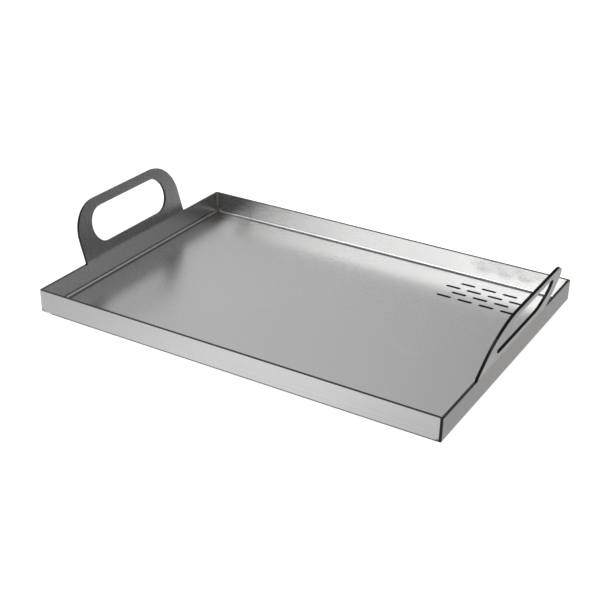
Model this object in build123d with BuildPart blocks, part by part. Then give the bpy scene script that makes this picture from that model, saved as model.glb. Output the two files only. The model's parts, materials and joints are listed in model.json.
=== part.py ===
"""A flat top griddle for a barbecue: one laser-cut stainless sheet, folded up on four sides,
with a carrying handle at each end that is part of the end wall and leans outwards.
The corners are welded inside, grease leaves by a group of slots in one corner of the floor,
and a lattice of half-lapped flat bars is tacked under the floor so that heat doesn't warp it.

Frame: +X along the length, towards the right-hand handle, +Y towards the back, +Z up.
The origin is in the middle of the plane that the bars stand on. Millimetres.
"""

from build123d import *
import os
from math import radians, tan

# The pan
length = 457.0  # over the outer faces of the end walls
width = 323.0  # over the outer faces of the front and back walls
wall_height = 27.1  # outside, from the pan's underside to the rim
sheet = 3.0
inner_bend = 2.5
outer_bend = inner_bend + sheet
left_corner_round = 2.5  # ground round and polished, seen from above
right_corner_round = 0.6  # only deburred, so that the end wall's cut edge shows
right_corner_step = 0.2  # the end wall's cut edge lies this far inside the side walls' faces

# The lattice under the floor
bar_height = 12.0
bar_thickness = 3.0
long_bar_length = 390.0
cross_bar_length = 182.0
long_bar_spacing = 168.0
cross_bar_pitch = 108.0
cross_bar_count = 4
lap_clearance = 0.1  # on each side, where two bars cross

# The handles
handle_lean = 16.7  # degrees outwards from upright
knee_radius = 10.0  # on the outer face, where the handle leaves the wall
handle_reach = 61.3  # from the knee's corner to the top, along the slope
handle_root_half = 87.5
handle_top_half = 87.0
handle_corner = 37.0
grip_length = 129.0
grip_height = 40.0
grip_centre = 31.0  # above the knee's corner, along the slope

# The drain: staggered rows of straight slots near the back right-hand corner
drain_x = 148.0
drain_y = 116.5
drain_slot_length = 17.0
drain_slot_width = 4.0
drain_rows = 4
drain_row_pitch = 12.5
drain_columns = 4
drain_column_pitch = 24.5

# Weld metal
bead_leg = 1.8  # fillet inside each corner
bead_below_rim = 0.6
tack_leg = 2.6
tack_length = 16.0
weld_hollow = 1.4  # radius of a fillet's concave face, in legs

# Places worked out from the sizes above
pan_base = bar_height
floor_top = pan_base + sheet
rim = pan_base + wall_height
bend_top = pan_base + outer_bend
bend_start_x = length / 2 - outer_bend
end_inner_x = length / 2 - sheet
side_inner_y = width / 2 - sheet
mid_bend = inner_bend + sheet / 2
mid_knee = knee_radius + sheet / 2
half_lean = tan(radians(handle_lean) / 2)
mid_knee_corner = rim + mid_knee * half_lean
outer_knee_corner = rim + knee_radius * half_lean


def export(part, name):
    """Labels a finished piece and writes it as its own STEP file."""
    part.label = name
    export_step(part, f"parts/{name}.step")


def symmetric(count, pitch):
    """Evenly spaced places about zero."""
    return [pitch * (i - (count - 1) / 2) for i in range(count)]


def end_outline(inset):
    """An end wall seen from the end: its lower corners follow the side walls' bends."""
    with BuildSketch(Plane.YZ) as outline:
        with Locations((0, (pan_base + rim) / 2)):
            Rectangle(width - 2 * inset, wall_height)
        fillet(outline.vertices().group_by(Axis.Y)[0], outer_bend)
    return outline.sketch


os.makedirs("parts", exist_ok=True)

# ---------------------------------------------------------------- pan
# Both end walls are cut from the same folded strip: the bend out of the floor, then the upright.
with BuildPart() as end_strip:
    with BuildSketch(Plane.XZ):
        with BuildLine():
            bend = JernArc((bend_start_x, pan_base + sheet / 2), (1, 0), mid_bend, 90)
            Line(bend @ 1, (length / 2 - sheet / 2, rim))
        trace(line_width=sheet)
    extrude(amount=width / 2, both=True)

with BuildPart() as right_end:
    add(end_strip.part)
    extrude(end_outline(right_corner_step), amount=length / 2, mode=Mode.INTERSECT)

with BuildPart() as left_end:
    add(end_strip.part)
    extrude(end_outline(0), amount=length / 2, mode=Mode.INTERSECT)

# A handle goes on from the end wall, through a wide bend, and leans outwards.
handle_face = Plane(
    origin=(length / 2, 0, outer_knee_corner),
    x_dir=(0, 1, 0),
    z_dir=Vector(1, 0, 0).rotate(Axis.Y, handle_lean),
)
with BuildPart() as right_handle:
    knee = Vector(length / 2 - sheet / 2, mid_knee_corner)
    slope = Vector(0, 1).rotate(Axis.Z, -handle_lean)
    with BuildSketch(Plane.XZ):
        with BuildLine():
            FilletPolyline(
                (knee.X, rim - sheet),
                (knee.X, knee.Y),
                knee + slope * handle_reach * 2,
                radius=mid_knee,
            )
        trace(line_width=sheet)
    extrude(amount=handle_root_half + sheet, both=True)
    with BuildSketch(handle_face) as outline:
        with BuildLine():
            Polyline(
                (-handle_root_half, -wall_height),
                (handle_root_half, -wall_height),
                (handle_root_half, 0),
                (handle_top_half, handle_reach),
                (-handle_top_half, handle_reach),
                (-handle_root_half, 0),
                close=True,
            )
        make_face()
        fillet(outline.vertices().group_by(Axis.Y)[-1], handle_corner)
    extrude(amount=2 * sheet, both=True, mode=Mode.INTERSECT)
    with BuildSketch(handle_face):
        with Locations((0, grip_centre)):
            SlotOverall(grip_length, grip_height)
    extrude(amount=2 * sheet, both=True, mode=Mode.SUBTRACT)

# The floor with the front and back walls is one channel, whose walls run on to the ends.
with BuildPart() as griddle_pan:
    with BuildSketch(Plane.YZ):
        with BuildLine():
            FilletPolyline(
                (-width / 2 + sheet / 2, rim),
                (-width / 2 + sheet / 2, pan_base + sheet / 2),
                (width / 2 - sheet / 2, pan_base + sheet / 2),
                (width / 2 - sheet / 2, rim),
                radius=mid_bend,
            )
        trace(line_width=sheet)
    extrude(amount=bend_start_x, both=True)
    with Locations([(0, y, (bend_top + rim) / 2) for y in symmetric(2, width - sheet)]):
        Box(2 * end_inner_x, sheet, rim - bend_top)
    add(right_end.part)
    mirror(left_end.part, about=Plane.YZ)
    with BuildSketch(Plane.XY.offset(pan_base)) as plan:
        Rectangle(length, width)
        fillet(plan.vertices().group_by(Axis.X)[0], left_corner_round)
        fillet(plan.vertices().group_by(Axis.X)[-1], right_corner_round)
    extrude(amount=wall_height, mode=Mode.INTERSECT)
    add(right_handle.part)
    mirror(right_handle.part, about=Plane.YZ)
    with BuildSketch(Plane.XY.offset(pan_base)):
        for row, y in enumerate(symmetric(drain_rows, drain_row_pitch)):
            for x in symmetric(drain_columns - row % 2, drain_column_pitch):
                with Locations((drain_x + x, drain_y + y)):
                    SlotOverall(drain_slot_length, drain_slot_width)
    extrude(amount=sheet, mode=Mode.SUBTRACT)
export(griddle_pan.part, "griddle_pan")

# ------------------------------------------------------- corner welds
# Each bead plugs the pocket under a side wall's end, where the two bends meet, and goes up
# the inside corner as a small fillet. The back right-hand one is made, and the others mirror it.
with BuildPart() as back_right_bead:
    with BuildSketch(Plane.XZ.offset(-(side_inner_y - bead_leg))):
        with BuildLine():
            CenterArc((bend_start_x, bend_top), inner_bend, -90, 90)
            Polyline(
                (end_inner_x, bend_top),
                (bend_start_x, bend_top),
                (bend_start_x, floor_top),
            )
        make_face()
    extrude(amount=-(bead_leg + sheet))
    with BuildSketch(Plane.XY.offset(bend_top)):
        with BuildLine():
            RadiusArc(
                (end_inner_x - bead_leg, side_inner_y),
                (end_inner_x, side_inner_y - bead_leg),
                bead_leg * weld_hollow,
            )
            Polyline(
                (end_inner_x, side_inner_y - bead_leg),
                (end_inner_x, side_inner_y),
                (end_inner_x - bead_leg, side_inner_y),
            )
        make_face()
    extrude(amount=rim - bead_below_rim - bend_top)
    extrude(end_outline(0), amount=length / 2, mode=Mode.INTERSECT)

bead = back_right_bead.part
export(bead, "corner_weld_back_right")
export(bead.mirror(Plane.YZ), "corner_weld_back_left")
export(bead.mirror(Plane.XZ), "corner_weld_front_right")
export(bead.mirror(Plane.XZ).mirror(Plane.YZ), "corner_weld_front_left")

# ------------------------------------------------------------ lattice
# The long bars are notched from below and the cross bars from above, and lap at half height.
cross_places = symmetric(cross_bar_count, cross_bar_pitch)
long_places = symmetric(2, long_bar_spacing)
notch_width = bar_thickness + 2 * lap_clearance
notch_height = bar_height / 2 + lap_clearance

for name, y in zip(("front", "back"), long_places):
    with BuildPart() as long_bar:
        with Locations((0, y, bar_height / 2)):
            Box(long_bar_length, bar_thickness, bar_height)
        with Locations([(x, y, bar_height / 4) for x in cross_places]):
            Box(notch_width, bar_thickness, notch_height, mode=Mode.SUBTRACT)
    export(long_bar.part, f"long_bar_{name}")

for number, x in enumerate(cross_places, start=1):
    with BuildPart() as cross_bar:
        with Locations((x, 0, bar_height / 2)):
            Box(bar_thickness, cross_bar_length, bar_height)
        with Locations([(x, y, bar_height * 3 / 4) for y in long_places]):
            Box(bar_thickness, notch_width, notch_height, mode=Mode.SUBTRACT)
    export(cross_bar.part, f"cross_bar_{number}")

# ------------------------------------------------------------- tacks
# Short fillet welds in the angle between a bar and the underside of the floor.


def section(corner, away, along):
    """A fillet weld's section, with its corner where bar and floor meet."""
    with BuildSketch(Plane(origin=corner, x_dir=away, z_dir=along)) as fillet_weld:
        with BuildLine():
            RadiusArc((0, -tack_leg), (tack_leg, 0), tack_leg * weld_hollow)
            Polyline((tack_leg, 0), (0, 0), (0, -tack_leg))
        make_face()
    return fillet_weld.sketch


half_bar = bar_thickness / 2
half_tack = tack_length / 2

with BuildPart() as long_bar_tacks:
    for y in long_places:
        for x in symmetric(3, cross_bar_pitch):
            back_face = section((x - half_tack, y + half_bar, bar_height), (0, 1, 0), (1, 0, 0))
            extrude(back_face, amount=tack_length)
            front_face = section((x + half_tack, y - half_bar, bar_height), (0, -1, 0), (-1, 0, 0))
            extrude(front_face, amount=tack_length)
export(long_bar_tacks.part, "long_bar_tacks")

with BuildPart() as cross_bar_tacks:
    for x in cross_places:
        for y in symmetric(2, long_bar_spacing / 2):
            right_face = section((x + half_bar, y + half_tack, bar_height), (1, 0, 0), (0, -1, 0))
            extrude(right_face, amount=tack_length)
            left_face = section((x - half_bar, y - half_tack, bar_height), (-1, 0, 0), (0, 1, 0))
            extrude(left_face, amount=tack_length)
export(cross_bar_tacks.part, "cross_bar_tacks")
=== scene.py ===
"""Looks for the flat top griddle: a folded, brushed stainless pan on a lattice of flat bars.

The pan and the bars are the CAD nodes with finished materials. The weld beads and the tack
welds are rippled meshes that stand for their plain CAD nodes.
"""

import json
import math

import bmesh
import bpy
from mathutils import Matrix, Vector


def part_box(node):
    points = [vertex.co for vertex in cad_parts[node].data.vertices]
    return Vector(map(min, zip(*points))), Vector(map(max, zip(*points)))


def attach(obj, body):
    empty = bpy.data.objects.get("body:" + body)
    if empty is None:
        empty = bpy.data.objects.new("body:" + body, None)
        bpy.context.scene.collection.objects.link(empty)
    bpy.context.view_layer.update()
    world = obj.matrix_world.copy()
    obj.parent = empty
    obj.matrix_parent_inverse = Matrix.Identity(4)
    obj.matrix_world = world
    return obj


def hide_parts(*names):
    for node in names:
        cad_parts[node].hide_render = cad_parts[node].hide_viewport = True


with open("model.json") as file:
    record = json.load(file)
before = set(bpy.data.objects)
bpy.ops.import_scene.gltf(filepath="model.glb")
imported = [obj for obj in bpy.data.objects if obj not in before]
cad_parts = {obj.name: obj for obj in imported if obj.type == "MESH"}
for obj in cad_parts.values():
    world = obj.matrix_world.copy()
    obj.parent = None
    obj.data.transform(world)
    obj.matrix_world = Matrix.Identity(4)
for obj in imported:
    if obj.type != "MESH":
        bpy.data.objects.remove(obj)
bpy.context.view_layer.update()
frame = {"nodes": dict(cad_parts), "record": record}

MM = 0.001
nodes = frame["nodes"]

# ------------------------------------------------------------ sizes
# They come from the frame. A number that isn't in it repeats the part's size or is for looks.
pan_low, pan_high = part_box("griddle_pan")
weld_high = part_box("corner_weld_back_right")[1]
base = pan_low.z
floor_top = next(m["pos_m"][2] for m in frame["record"]["mounts"] if m["name"] == "cooking_surface")
sheet = floor_top - base
half_width = pan_high.y
end_inside = weld_high.x
half_length = end_inside + sheet
side_inside = half_width - sheet
bead_below_rim = 0.6 * MM
rim = weld_high.z + bead_below_rim
inner_bend = 2.5 * MM
outer_bend = inner_bend + sheet
bend_top = base + outer_bend
bend_start = half_length - outer_bend
lean = math.radians(16.7)
bead_leg = 1.8 * MM
corner_step = 0.2 * MM  # at the right, the end wall's cut edge lies this far inside the sides
die_mark_heights = (8.5 * MM, 14.0 * MM)  # above the underside
tiny = 0.01 * MM


def middle_of(node):
    """The middle of a CAD node's box."""
    lowest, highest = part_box(node)
    return (lowest + highest) / 2


cross_bar_x = [middle_of(f"cross_bar_{number}").x for number in range(1, 5)]
cross_pitch = cross_bar_x[1] - cross_bar_x[0]
long_bar_y = middle_of("long_bar_back").y
bar_thickness = 2 * (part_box("long_bar_back")[1].y - long_bar_y)
tack_length = 16 * MM
tack_leg = 2.6 * MM

# ------------------------------------------------------------ shader helper


class Shader:
    """A material's or a world's node tree, built from short lines."""

    def __init__(self, tree):
        tree.nodes.clear()
        self.tree = tree

    def plug(self, socket, value):
        """Sets a socket to a value, or links another node's socket to it."""
        if isinstance(value, bpy.types.NodeSocket):
            self.tree.links.new(value, socket)
        else:
            socket.default_value = value

    def add(self, kind, inputs=None, **settings):
        """A new node with its settings made and its inputs plugged in."""
        made = self.tree.nodes.new(kind)
        for name, value in settings.items():
            setattr(made, name, value)
        for key, value in (inputs or {}).items():
            self.plug(made.inputs[key], value)
        return made

    def math(self, operation, *values):
        return self.add("ShaderNodeMath", dict(enumerate(values)), operation=operation).outputs[0]

    def total(self, *values):
        """The sum of numbers and sockets."""
        result = values[0]
        for value in values[1:]:
            result = self.math("ADD", result, value)
        return result

    def ramp(self, value, low, high, to_low=0.0, to_high=1.0):
        """A smooth step from to_low to to_high as value goes from low to high."""
        inputs = {
            "Value": value,
            "From Min": low,
            "From Max": high,
            "To Min": to_low,
            "To Max": to_high,
        }
        made = self.add("ShaderNodeMapRange", inputs, interpolation_type="SMOOTHSTEP")
        return made.outputs["Result"]

    def noise(self, vector, scale, detail=3.0, roughness=0.5):
        inputs = {"Vector": vector, "Scale": scale, "Detail": detail, "Roughness": roughness}
        return self.add("ShaderNodeTexNoise", inputs).outputs["Fac"]

    def mix(self, factor, a, b):
        """A number between a and b."""
        made = self.add("ShaderNodeMix", {0: factor, 2: a, 3: b}, data_type="FLOAT")
        return made.outputs[0]

    def mix_color(self, factor, a, b):
        """A colour between a and b."""
        made = self.add("ShaderNodeMix", {0: factor, 6: a, 7: b}, data_type="RGBA")
        return made.outputs[2]

    def place(self):
        """Where a point of the surface is, in metres."""
        return self.add("ShaderNodeTexCoord").outputs["Object"]

    def split(self, vector):
        return self.add("ShaderNodeSeparateXYZ", {0: vector}).outputs

    def bump(self, height, strength, distance):
        """A normal that follows a pattern of small heights."""
        inputs = {"Strength": strength, "Distance": distance, "Height": height}
        return self.add("ShaderNodeBump", inputs).outputs[0]

    def finish(self, **inputs):
        """Ends a material in one Principled shader; Base_Color stands for "Base Color"."""
        named = {key.replace("_", " "): value for key, value in inputs.items()}
        surface = self.add("ShaderNodeBsdfPrincipled", named)
        self.add("ShaderNodeOutputMaterial", {0: surface.outputs[0]})


def grey(level, warmth=0.0):
    """A grey, tinted towards orange by a warmth above 0 and towards blue by one below it."""
    return (level * (1 + warmth), level, level * (1 - warmth), 1.0)


def new_material(name):
    material = bpy.data.materials.new(name)
    material.use_nodes = True
    return material, Shader(material.node_tree)


# ------------------------------------------------------------ materials


def grain_coordinates(s, along_scale, across_scale):
    """Coordinates stretched along the sheet's grain, which runs lengthwise and up the ends."""
    place = s.split(s.place())
    facing = s.split(s.add("ShaderNodeNewGeometry").outputs["Normal"])
    on_end = s.math("GREATER_THAN", s.math("ABSOLUTE", facing["X"]), 0.7)
    on_side = s.math("GREATER_THAN", s.math("ABSOLUTE", facing["Y"]), 0.7)
    along = s.mix(on_end, place["X"], place["Z"])
    across = s.mix(on_side, place["Y"], place["Z"])
    stretched = {
        "X": s.math("MULTIPLY", along, along_scale),
        "Y": s.math("MULTIPLY", across, across_scale),
    }
    return s.add("ShaderNodeCombineXYZ", stretched).outputs[0]


def beyond(s, value, limit):
    """How far a value is past a limit, and 0 before it."""
    return s.math("MAXIMUM", s.math("SUBTRACT", value, limit), 0.0)


def distance(s, a, b):
    """How far two differences at right angles reach together."""
    return s.math("SQRT", s.total(s.math("MULTIPLY", a, a), s.math("MULTIPLY", b, b)))


def tack_distance(s, x, y):
    """How far a place under the floor is from the nearest tack weld."""
    between_bars = s.math("ABSOLUTE", s.math("WRAP", x, cross_pitch / 2, -cross_pitch / 2))
    past_last_tack = s.math("SUBTRACT", s.math("ABSOLUTE", x), cross_pitch)
    along = s.math("MAXIMUM", between_bars, past_last_tack)
    from_cross_bar = s.math("SUBTRACT", cross_pitch / 2, along)
    from_long_bar = s.math("SUBTRACT", s.math("ABSOLUTE", y), long_bar_y)
    from_middle = s.math("ABSOLUTE", s.math("SUBTRACT", s.math("ABSOLUTE", y), long_bar_y / 2))
    on_long_bar = distance(s, beyond(s, along, tack_length / 2), from_long_bar)
    on_cross_bar = distance(s, from_cross_bar, beyond(s, from_middle, tack_length / 2))
    return s.math("MINIMUM", on_long_bar, on_cross_bar)


def inside_corner_distance(s, place):
    """How far a place inside the pan is from the nearest welded corner; far on the outside."""
    from_end = s.math("SUBTRACT", s.math("ABSOLUTE", place["X"]), end_inside)
    from_side = s.math("SUBTRACT", s.math("ABSOLUTE", place["Y"]), side_inside)
    past_sheet = s.math("GREATER_THAN", s.math("MAXIMUM", from_end, from_side), sheet / 2)
    return s.total(distance(s, from_end, from_side), past_sheet)


STRAW, BROWN, BLUE = (0.60, 0.50, 0.33, 1.0), (0.42, 0.28, 0.20, 1.0), (0.24, 0.27, 0.36, 1.0)


def heat_tint(s, color, gap, reach, amount):
    """Straw and then brown and blue on the steel as it gets nearer to a weld."""
    uneven = s.noise(s.place(), 260.0, 2.0, 0.5)
    wander = 0.15 * reach
    near = s.total(gap, s.ramp(uneven, 0.3, 0.7, -wander, wander))
    straw = s.ramp(near, 0.55 * reach, reach, amount, 0.0)
    brown = s.ramp(near, 0.30 * reach, 0.60 * reach, amount, 0.0)
    blue = s.ramp(near, 0.15 * reach, 0.38 * reach, amount, 0.0)
    color = s.mix_color(straw, color, STRAW)
    color = s.mix_color(brown, color, BROWN)
    return s.mix_color(blue, color, BLUE)


def line_at(s, value, middle, core, edge):
    """1 where a value is within core of a line's middle, and fading to 0 at edge from it."""
    away = s.math("ABSOLUTE", s.math("SUBTRACT", value, middle))
    return s.ramp(away, core, edge, 1.0, 0.0)


def die_marks(s, place):
    """Two faint broken lines along the front and back walls, from the press brake's die."""
    broken = s.ramp(s.noise(s.place(), 14.0, 2.0, 0.5), 0.48, 0.60)
    core, edge = 0.1 * MM, 0.45 * MM
    lines = [line_at(s, place["Z"], base + height, core, edge) for height in die_mark_heights]
    outside = s.math("GREATER_THAN", s.math("ABSOLUTE", place["Y"]), half_width - sheet / 2)
    return s.math("MULTIPLY", outside, s.math("MULTIPLY", broken, s.total(*lines)))


def painted_bend_shade_lines(s, place):
    """Painted shade: dark lines inside the pan beside each bend, on the floor and up the end walls.
    """
    darkness = 0.75
    floor_line_core, floor_line_edge, floor_line_gap = 0.425 * MM, 1.7 * MM, 0.9 * MM
    end_line_core, end_line_edge, end_line_gap = 0.325 * MM, 1.3 * MM, 0.2 * MM
    from_middle = s.math("ABSOLUTE", place["X"])
    from_axis = s.math("ABSOLUTE", place["Y"])

    def beside(value, bend):
        return line_at(s, value, bend - floor_line_gap, floor_line_core, floor_line_edge)

    inside_ends = s.math("LESS_THAN", from_middle, half_length - sheet / 2)
    over_floor = s.math("GREATER_THAN", place["Z"], floor_top - tiny)
    inside = s.math("MULTIPLY", inside_ends, over_floor)
    near_floor = s.math("LESS_THAN", place["Z"], floor_top + inner_bend / 3)
    beside_bends = s.math(
        "MAXIMUM",
        beside(from_middle, bend_start),
        beside(from_axis, half_width - outer_bend),
    )
    on_floor = s.math("MULTIPLY", near_floor, beside_bends)
    up_ends = s.math("GREATER_THAN", from_middle, end_inside - inner_bend / 8)
    over_bend = line_at(s, place["Z"], bend_top + end_line_gap, end_line_core, end_line_edge)
    on_ends = s.math("MULTIPLY", up_ends, over_bend)
    marks = s.math("MAXIMUM", on_floor, on_ends)
    return s.math("MULTIPLY", s.math("MULTIPLY", inside, darkness), marks)


def painted_bend_highlight(s, place, facing):
    """A painted highlight: lighter metal inside each bend, most where it faces half up and half
    sideways.
    """
    brightness = 0.9
    sideways = s.math("MAXIMUM", s.math("ABSOLUTE", facing["X"]), s.math("ABSOLUTE", facing["Y"]))
    bent = s.ramp(s.math("MULTIPLY", sideways, facing["Z"]), 0.22, 0.45, 0.0, brightness)
    return s.math("MULTIPLY", bent, s.math("LESS_THAN", place["Z"], bend_top))


def scratches(s):
    """Sparse hair scratches at a slant to the grain, as from wiping and stacking."""
    slant, cells_per_metre = (0.0, 0.0, 0.55), (9.0, 60.0, 9.0)
    turned = s.add("ShaderNodeMapping", {0: s.place(), 2: slant, 3: cells_per_metre})
    cells = s.add(
        "ShaderNodeTexVoronoi",
        {"Vector": turned.outputs[0], "Scale": 1.0},
        feature="DISTANCE_TO_EDGE",
    )
    line = s.ramp(cells.outputs["Distance"], 0.0, 0.012, 1.0, 0.0)
    patch = s.ramp(s.noise(s.place(), 11.0, 2.0, 0.5), 0.55, 0.72)
    return s.math("MULTIPLY", line, patch)


def brushed_stainless():
    """The pan's sheet: grain, scratches, die marks, painted shade and a painted highlight along the
    bends, and heat tint by the welds.
    """
    material, s = new_material("brushed_stainless")
    place = s.split(s.place())
    facing = s.split(s.add("ShaderNodeNewGeometry").outputs["Normal"])
    fine = s.noise(grain_coordinates(s, along_scale=45, across_scale=2600), 1.0, 2.0, 0.6)
    coarse = s.noise(grain_coordinates(s, along_scale=5, across_scale=240), 1.0, 2.0, 0.5)
    clouds = s.noise(s.place(), 7.0, 3.0, 0.5)
    scratch = scratches(s)
    tone = s.total(
        s.ramp(fine, 0.3, 0.7, -0.28, 0.28),
        s.ramp(coarse, 0.3, 0.7, -0.05, 0.05),
        s.math("MULTIPLY", scratch, 0.2),
        s.math("MULTIPLY", die_marks(s, place), -1.6),
    )
    # The third grey is painted shade beside the bends, and the fourth a painted highlight inside
    # them.
    dull, bright, painted_shade_grey, rubbed = grey(0.53, 0.004), grey(0.67, 0.004), grey(0.20), grey(0.86)
    color = s.mix_color(s.ramp(tone, -2.0, 2.0), dull, bright)
    # Painted shade: dark lines beside the bends.
    color = s.mix_color(painted_bend_shade_lines(s, place), color, painted_shade_grey)
    # Painted highlight: lighter metal inside the bends.
    color = s.mix_color(painted_bend_highlight(s, place, facing), color, rubbed)
    underneath = s.math("LESS_THAN", facing["Z"], -0.5)
    far_off = s.mix(underneath, 1.0, 0.0)
    tack_gap = s.total(tack_distance(s, place["X"], place["Y"]), far_off)
    tack_reach, corner_reach = 13 * MM, 8 * MM
    color = heat_tint(s, color, tack_gap, tack_reach, 0.8)
    color = heat_tint(s, color, inside_corner_distance(s, place), corner_reach, 0.16)
    rough = s.total(
        s.ramp(fine, 0.3, 0.7, 0.269, 0.283),
        s.ramp(clouds, 0.35, 0.65, -0.008, 0.008),
        s.math("MULTIPLY", scratch, -0.03),
    )
    s.finish(
        Base_Color=color,
        Metallic=1.0,
        Roughness=rough,
        Normal=s.bump(fine, 0.03, 0.006 * MM),
    )
    return material


def laser_cut_edge():
    """A black, finely rough oxide skin."""
    material, s = new_material("laser_cut_edge")
    marks = s.noise(s.place(), 900.0, 2.0, 0.6)
    s.finish(
        Base_Color=s.mix_color(s.ramp(marks, 0.35, 0.65), grey(0.004, -0.1), grey(0.012, -0.1)),
        Metallic=0.0,
        Roughness=s.ramp(marks, 0.3, 0.7, 0.36, 0.48),
        IOR=1.33,
        Normal=s.bump(marks, 0.25, 0.05 * MM),
    )
    return material


def rubbed_rim():
    """The same oxide, half rubbed away along the walls' top edges."""
    material, s = new_material("rubbed_rim")
    marks = s.noise(s.place(), 500.0, 3.0, 0.6)
    s.finish(
        Base_Color=s.mix_color(s.ramp(marks, 0.3, 0.7), grey(0.04, -0.06), grey(0.08, -0.06)),
        Metallic=1.0,
        Roughness=s.ramp(marks, 0.3, 0.7, 0.34, 0.44),
        Normal=s.bump(marks, 0.2, 0.04 * MM),
    )
    return material


def mill_finish_stainless():
    """Dull rolled bar, tinted beside its tack welds."""
    material, s = new_material("mill_finish_stainless")
    place = s.split(s.place())
    clouds = s.noise(s.place(), 160.0, 4.0, 0.6)
    color = s.mix_color(s.ramp(clouds, 0.35, 0.65), grey(0.38), grey(0.46))
    fade_downwards, reach = 1.4, 9 * MM
    below_floor = s.math("MULTIPLY", beyond(s, base, place["Z"]), fade_downwards)
    gap = s.total(tack_distance(s, place["X"], place["Y"]), below_floor)
    s.finish(
        Base_Color=heat_tint(s, color, gap, reach, 0.8),
        Metallic=1.0,
        Roughness=s.ramp(clouds, 0.3, 0.7, 0.37, 0.47),
        Normal=s.bump(clouds, 0.2, 0.05 * MM),
    )
    return material


def weld_metal():
    """Frosty grey weld metal with browner patches."""
    material, s = new_material("weld_metal")
    grains = s.noise(s.place(), 1400.0, 3.0, 0.6)
    patches = s.noise(s.place(), 210.0, 2.0, 0.5)
    color = s.mix_color(s.ramp(grains, 0.3, 0.7), grey(0.34, 0.02), grey(0.50, 0.01))
    brown = (0.33, 0.27, 0.22, 1.0)
    s.finish(
        Base_Color=s.mix_color(s.ramp(patches, 0.45, 0.7, 0.0, 0.5), color, brown),
        Metallic=1.0,
        Roughness=s.ramp(grains, 0.3, 0.7, 0.30, 0.42),
        Normal=s.bump(grains, 0.25, 0.04 * MM),
    )
    return material


BRUSHED, CUT, RUBBED = range(3)


def finish_of(normal, centre):
    """Which finish a face of the pan has: its sheet's surface, a cut edge, or a rubbed rim."""
    side = 1 if centre.x > 0 else -1
    out_of_handle = Vector((side * math.cos(lean), 0, -math.sin(lean)))
    faces_up, is_upright = normal.z > 0.9, abs(normal.z) < 0.1
    faces_an_end, faces_a_side = abs(normal.x) > 0.05, abs(normal.y) > 0.02
    if abs(centre.z - rim) < tiny and faces_up:
        return RUBBED
    if centre.z > rim - tiny:
        return CUT if abs(normal.dot(out_of_handle)) < 0.5 else BRUSHED
    in_floor = base + tiny < centre.z < floor_top - tiny
    if in_floor and abs(centre.x) < bend_start - sheet and abs(centre.y) < side_inside - sheet:
        return CUT if is_upright else BRUSHED
    if centre.x < bend_start + tiny or faces_an_end:
        return BRUSHED
    if centre.z < bend_top:
        outside = abs(centre.y) > half_width - outer_bend - sheet / 2
        return CUT if outside and faces_a_side else BRUSHED
    from_step = abs(half_width - corner_step - abs(centre.y))
    return CUT if from_step < corner_step / 2 else BRUSHED


def finish_cad_nodes():
    """Gives the pan its three finishes, face by face, and the bars theirs."""
    pan_finishes = [brushed_stainless(), laser_cut_edge(), rubbed_rim()]
    bar_finish = mill_finish_stainless()
    for name, piece in nodes.items():
        piece.data.materials.clear()
        for material in pan_finishes if name == "griddle_pan" else [bar_finish]:
            piece.data.materials.append(material)
    for polygon in nodes["griddle_pan"].data.polygons:
        polygon.material_index = finish_of(polygon.normal, polygon.center)


# ------------------------------------------------------------ weld beads

RIPPLE = 1.3 * MM
STEPS_PER_RIPPLE = 5
FACE_POINTS = 9
SUNK = 0.04 * MM  # how deep a bead goes into the metal beside it

# In parts of a bead's leg
RIPPLE_HEIGHT = 0.045
WAVE_HEIGHT = 0.02
HOLLOW = 0.10
BLUNT_END = 0.25

RIPPLE_BOW = 1.8  # radians of phase between a ripple's middle and its ends
RIPPLES_PER_WAVE = 3.7


class Mesh:
    """Vertices and faces of one piece, gathered shell by shell."""

    def __init__(self):
        self.points, self.faces = [], []

    def tube(self, rings):
        """A closed shell through rings of equally many points."""
        first, count = len(self.points), len(rings[0])
        for ring in rings:
            self.points += ring
        for row in range(len(rings) - 1):
            for i in range(count):
                a = first + row * count + i
                b = first + row * count + (i + 1) % count
                self.faces.append((a, b, b + count, a + count))
        last = first + (len(rings) - 1) * count
        self.faces.append(tuple(range(first + count - 1, first - 1, -1)))
        self.faces.append(tuple(range(last, last + count)))

    def piece(self, name, material, *replaced):
        """Makes one object of the shells; it stands for the CAD nodes that it replaces."""
        data = bpy.data.meshes.new(name)
        data.from_pydata([tuple(p) for p in self.points], [], self.faces)
        outward = bmesh.new()
        outward.from_mesh(data)
        bmesh.ops.recalc_face_normals(outward, faces=outward.faces)
        outward.to_mesh(data)
        outward.free()
        data.shade_smooth()
        data.materials.append(material)
        made = bpy.data.objects.new(name, data)
        bpy.context.scene.collection.objects.link(made)
        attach(made, "root")
        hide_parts(*replaced)


def fillet_bead(mesh, corner, along, side_a, side_b, length, leg_at, tapers):
    """A rippled fillet weld in the angle between two faces, which side_a and side_b lie in.
    leg_at gives its size at a length along it, and tapers says which of its ends are rounded.
    """
    ripples = round(length / RIPPLE)
    steps = ripples * STEPS_PER_RIPPLE
    rings = []
    for step in range(steps + 1):
        t = length * step / steps
        leg = leg_at(t)
        for gap, is_tapered in ((t, tapers[0]), (length - t, tapers[1])):
            if is_tapered and gap < leg:
                leg *= BLUNT_END + (1 - BLUNT_END) * math.sqrt(1 - (1 - gap / leg) ** 2)
        middle = corner + along * t
        ring = [middle - (side_a + side_b) * SUNK]
        for i in range(FACE_POINTS):
            w = i / (FACE_POINTS - 1)
            crown = math.sin(math.pi * w)
            phase = 2 * math.pi * ripples * t / length + RIPPLE_BOW * crown
            ripple = RIPPLE_HEIGHT * math.cos(phase)
            wave = WAVE_HEIGHT * math.sin(phase / RIPPLES_PER_WAVE)
            out = leg * crown * (ripple + wave - HOLLOW)
            a = leg * (1 - w) + out - (SUNK if i == FACE_POINTS - 1 else 0)
            b = leg * w + out - (SUNK if i == 0 else 0)
            ring.append(middle + side_a * a + side_b * b)
        rings.append(ring)
    mesh.tube(rings)


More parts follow.
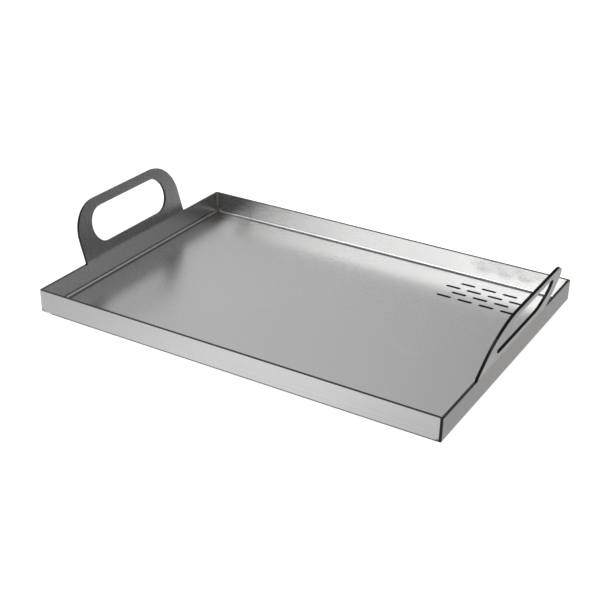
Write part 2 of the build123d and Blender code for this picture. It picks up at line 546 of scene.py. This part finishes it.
def corner_plug(mesh, x_side, y_side):
    """Weld metal in the pocket under a side wall's end, ground flush with the outside."""
    steps = 8
    radius = inner_bend + SUNK
    centre = Vector((x_side * bend_start, 0, bend_top))
    section = [Vector((-x_side * SUNK, 0, SUNK))]
    for i in range(steps + 1):
        a = math.pi / 2 * i / steps
        section.append(Vector((x_side * radius * math.cos(a), 0, -radius * math.sin(a))))
    inner_y = side_inside - bead_leg / 2
    outer_centre = half_width - outer_bend
    inner, outer = [], []
    for point in section:
        drop = max(bend_top - (centre + point).z, 0)
        reach = math.sqrt(outer_bend**2 - drop**2)
        inner.append(centre + point + Vector((0, y_side * inner_y, 0)))
        outer.append(centre + point + Vector((0, y_side * (outer_centre + reach - SUNK / 2), 0)))
    mesh.tube([inner, outer])


def corner_bead(x_name, y_name):
    """The bead up one inside corner, with its plug."""
    x_side = 1 if x_name == "right" else -1
    y_side = 1 if y_name == "back" else -1
    start = floor_top - SUNK
    top = rim - bead_below_rim

    def leg_at(t):
        """Wide at the foot, where the bends leave a deeper angle to fill."""
        drop = min(max(bend_top - (start + t), 0), inner_bend)
        return bead_leg + inner_bend - math.sqrt(inner_bend**2 - drop**2)

    mesh = Mesh()
    corner = Vector((x_side * end_inside, y_side * side_inside, start))
    along_end, along_side = Vector((0, -y_side, 0)), Vector((-x_side, 0, 0))
    fillet_bead(mesh, corner, Vector((0, 0, 1)), along_end, along_side, top - start, leg_at, (0, 1))
    corner_plug(mesh, x_side, y_side)
    name = f"{y_name}_{x_name}"
    mesh.piece(f"corner_bead_{name}", weld, f"corner_weld_{name}")


def tack_beads(name, replaced, middles, along):
    """Fillet welds on both sides of each bar, under the floor, centred on the given middles."""
    mesh = Mesh()
    down = Vector((0, 0, -1))
    across = Vector((along.y, along.x, 0))

    def leg_at(t):
        return tack_leg

    for middle in middles:
        for side in (1, -1):
            corner = Vector((*middle, base)) + across * side * bar_thickness / 2
            start = corner - along * tack_length / 2
            fillet_bead(mesh, start, along, across * side, down, tack_length, leg_at, (1, 1))
    mesh.piece(name, weld, replaced)


def all_beads():
    """The four corners' beads, and the tacks beside the long bars and the cross bars."""
    for x_name in ("left", "right"):
        for y_name in ("front", "back"):
            corner_bead(x_name, y_name)
    between_cross_bars = (-cross_pitch, 0, cross_pitch)
    on_long_bars = [(x, side * long_bar_y) for x in between_cross_bars for side in (-1, 1)]
    on_cross_bars = [(x, side * long_bar_y / 2) for x in cross_bar_x for side in (-1, 1)]
    tack_beads("long_bar_tack_beads", "long_bar_tacks", on_long_bars, Vector((1, 0, 0)))
    tack_beads("cross_bar_tack_beads", "cross_bar_tacks", on_cross_bars, Vector((0, 1, 0)))


weld = weld_metal()
finish_cad_nodes()
all_beads()

# ------------------------------------------------------------ stage


def staged(name, points, faces, material):
    """A piece of the set around the griddle."""
    mesh = bpy.data.meshes.new(name)
    mesh.from_pydata(points, [], faces)
    mesh.materials.append(material)
    made = bpy.data.objects.new(name, mesh)
    bpy.context.scene.collection.objects.link(made)
    return made


def pale_floor():
    """A pale sheet, lit from below like a product table, with a painted shadow: its glow dims only
    under the griddle.
    """
    reach = 8.0
    inset, fade = 45 * MM, 30 * MM
    dim, lit = 0.05, 0.95
    corners = [(-reach, -reach, 0), (reach, -reach, 0), (reach, reach, 0), (-reach, reach, 0)]
    material, s = new_material("floor")
    place = s.split(s.place())
    beyond_x = beyond(s, s.math("ABSOLUTE", place["X"]), half_length - inset)
    beyond_y = beyond(s, s.math("ABSOLUTE", place["Y"]), half_width - inset)
    # Painted shadow: the glow is dim well inside the griddle's outline and rises to full over the
    # fade.
    glow = s.ramp(distance(s, beyond_x, beyond_y), 0, fade, dim, lit)
    s.finish(
        Base_Color=grey(0.5),
        Roughness=0.9,
        Emission_Color=grey(1.0),
        Emission_Strength=glow,
    )
    staged("floor", corners, [(0, 1, 2, 3)], material)


def glowing(name, tint, level):
    """An emission material; its level is a number, or a function that makes a formula."""
    material, s = new_material(name)
    strength = level(s) if callable(level) else level
    glow = s.add("ShaderNodeEmission", {"Color": tint, "Strength": strength})
    s.add("ShaderNodeOutputMaterial", {0: glow.outputs[0]})
    return material


def white_backdrop():
    """A white dome that closes off the dim room behind the floor; the metal doesn't mirror it."""
    radius, rings, sides, level = 7.5, 10, 48, 1.1
    points = []
    for ring in range(rings + 1):
        height = math.pi / 2 * ring / (rings + 1)
        flat = radius * math.cos(height)
        for side in range(sides):
            turn = 2 * math.pi * side / sides
            points.append((flat * math.cos(turn), flat * math.sin(turn), radius * math.sin(height)))
    faces = []
    for ring in range(rings):
        for side in range(sides):
            a, b = ring * sides + side, ring * sides + (side + 1) % sides
            faces.append((a, b, b + sides, a + sides))
    dome = staged("backdrop", points, faces, glowing("backdrop", grey(1.0), level))
    dome.visible_glossy = False
    dome.visible_diffuse = False
    dome.visible_transmission = False
    dome.visible_shadow = False


def reflector(name, corners, tint, level):
    """A studio card that only shows in the metal's reflections; level may be a formula."""
    card = staged(name, corners, [(0, 1, 2, 3)], glowing(name, tint, level))
    card.visible_camera = False
    card.visible_diffuse = False
    card.visible_shadow = False


def lying(x0, x1, y0, y1):
    """Corners of a card that lies just over the floor."""
    lift = 0.5 * MM
    return [(x0, y0, lift), (x1, y0, lift), (x1, y1, lift), (x0, y1, lift)]


def front_level(s):
    """Brightest before the middle of the front wall, and dimmer towards both of its ends."""
    full, lost_at_left, lost_at_right = 1.03, 0.30, 0.25
    x = s.split(s.place())["X"]
    up_to_middle = s.ramp(x, -0.27, 0.0, full - lost_at_left, full)
    past_middle = s.ramp(x, 0.05, 0.23, 0.0, -lost_at_right)
    return s.total(up_to_middle, past_middle)


def reflection_cards():
    """What the outside mirrors: a bright card in front, a dimmer one at the right that stands in
    for the table in the griddle's shadow, a dark one under the pan that stands in for the shade
    there, and a dark one that stands behind the griddle at the right.
    """
    gap = 2 * MM
    beside, in_front = half_length + gap, -half_width - gap
    front = lying(-0.6, half_length + gap / 2, -0.6, in_front)
    right_hand = lying(beside, 0.7, -0.30, 0.9)
    under_half = half_length - gap
    under = lying(-under_half, under_half, in_front, half_width)
    left, right, top = Vector((0.2, 0.95, 0)), Vector((0.95, 0.1, 0)), Vector((0, 0, 0.2))
    behind = [left, right, right + top, left + top]
    reflector("front_card", front, grey(1.0, -0.006), front_level)
    # Painted shade in reflections: the side card is the table in the griddle's shadow, the under
    # card the shade beneath the pan.
    reflector("side_card", right_hand, grey(1.0, 0.02), 0.44)
    reflector("under_card", under, grey(1.0), 0.05)
    reflector("back_card", behind, grey(1.0), 0.08)


# For each soft box: the compass direction that it stands in (clockwise from +Y, seen from
# above) and its elevation, the angles from its middle where it ends and where it is full, all
# in degrees, and its strength.
SOFT_BOXES = {
    "key in front": (195, 22, 22, 7, 3.8),
    "fill at the right": (105, 34, 38, 12, 0.5),
    "wide one at the back left": (-55, 28, 52, 15, 0.68),
    "small one at the back right": (46, 26, 14, 5, 0.26),
    "small one at the front left": (228, 36, 13, 5, 1.5),
    "wide one at the back right": (60, 32, 36, 8, 0.3),
    "overhead": (0, 90, 50, 20, 0.15),
}


def studio_light():
    """The soft boxes, in a dim room."""
    room = 0.07
    world = bpy.data.worlds.new("studio")
    bpy.context.scene.world = world
    world.use_nodes = True
    s = Shader(world.node_tree)
    direction = s.add("ShaderNodeTexCoord").outputs["Generated"]

    def soft_box(azimuth, elevation, outer, inner, strength):
        a, e = math.radians(azimuth), math.radians(elevation)
        centre = Vector((math.sin(a) * math.cos(e), math.cos(a) * math.cos(e), math.sin(e)))
        inputs = {0: direction, 1: centre}
        dot = s.add("ShaderNodeVectorMath", inputs, operation="DOT_PRODUCT").outputs["Value"]
        ends, full = math.cos(math.radians(outer)), math.cos(math.radians(inner))
        return s.ramp(dot, ends, full, 0, strength)

    strength = s.total(room, *[soft_box(*box) for box in SOFT_BOXES.values()])
    background = s.add("ShaderNodeBackground", {"Color": grey(1.0), "Strength": strength})
    s.add("ShaderNodeOutputWorld", {0: background.outputs[0]})


def camera():
    """Looks down over the near right-hand corner, slightly tilted."""
    azimuth, elevation, roll = math.radians(30.090), math.radians(27.406), math.radians(1.202)
    away, aside, above = 1255.57 * MM, -4.241 * MM, 2.793 * MM
    lens = 69.94
    flat = math.cos(elevation)
    back = Vector((math.sin(azimuth) * flat, -math.cos(azimuth) * flat, math.sin(elevation)))
    level_right = Vector((math.cos(azimuth), math.sin(azimuth), 0))
    level_up = back.cross(level_right)
    right = level_right * math.cos(roll) + level_up * math.sin(roll)
    up = level_up * math.cos(roll) - level_right * math.sin(roll)
    data = bpy.data.cameras.new("camera")
    data.sensor_width = 36.0
    data.lens = lens
    data.clip_start, data.clip_end = 0.05, 30
    made = bpy.data.objects.new("camera", data)
    bpy.context.scene.collection.objects.link(made)
    made.location = right * aside + up * above + back * away + Vector((0, 0, base))
    made.rotation_mode = "QUATERNION"
    made.rotation_quaternion = Matrix((right, up, back)).transposed().to_quaternion()
    bpy.context.scene.camera = made


pale_floor()
white_backdrop()
reflection_cards()
studio_light()
camera()
bpy.context.scene.view_settings.view_transform = "Standard"
